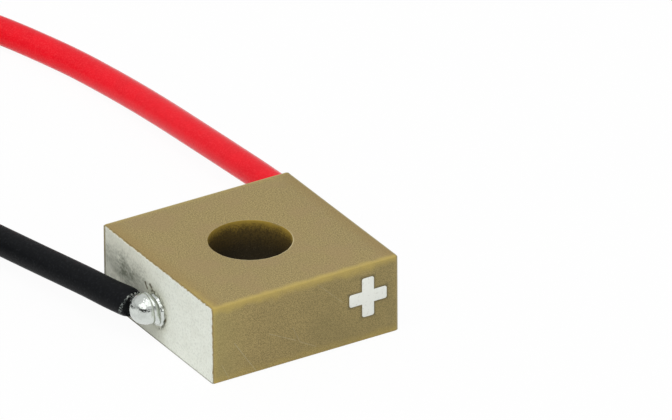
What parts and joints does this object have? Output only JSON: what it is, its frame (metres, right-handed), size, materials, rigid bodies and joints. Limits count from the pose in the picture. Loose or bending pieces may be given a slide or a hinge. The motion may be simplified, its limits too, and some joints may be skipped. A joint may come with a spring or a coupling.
{
  "type": "piezoelectric chip",
  "caption": "Small square ceramic actuator chip with a through hole, silver electrodes on opposite sides and a red and a black lead soldered on.",
  "frame": {"origin": "centre of the ceramic's bottom face, on the axis of the hole", "axes": "+Z along the hole, up; +X towards the positive electrode (red lead), -X towards the negative electrode (black lead), -Y towards the printed plus sign"},
  "size_m": [0.0163, 0.024, 0.002],
  "materials": {
    "ceramic": "ground, matte",
    "silver": "fired silver, matte",
    "print": "printed silver, matte",
    "solder": "bright solder",
    "tinned_copper": "tinned strands",
    "black_insulation": "matte",
    "red_insulation": "satin",
    "tie_thread": "waxed thread"
  },
  "bodies": {
    "root": {"ceramic_body": "ceramic", "negative_electrode": "silver", "positive_electrode": "silver", "polarity_mark": "print", "negative_solder": "solder", "positive_solder": "solder", "negative_core": "tinned_copper", "positive_core": "tinned_copper", "negative_lead": "black_insulation", "negative_lead_coil": "black_insulation", "negative_coil_tie": "tie_thread", "negative_lead_tail": "black_insulation", "negative_lead_tip": "tinned_copper", "positive_lead": "red_insulation", "positive_lead_coil": "red_insulation", "positive_coil_tie": "tie_thread", "positive_lead_tail": "red_insulation", "positive_lead_tip": "tinned_copper"}
  },
  "joints": []
}
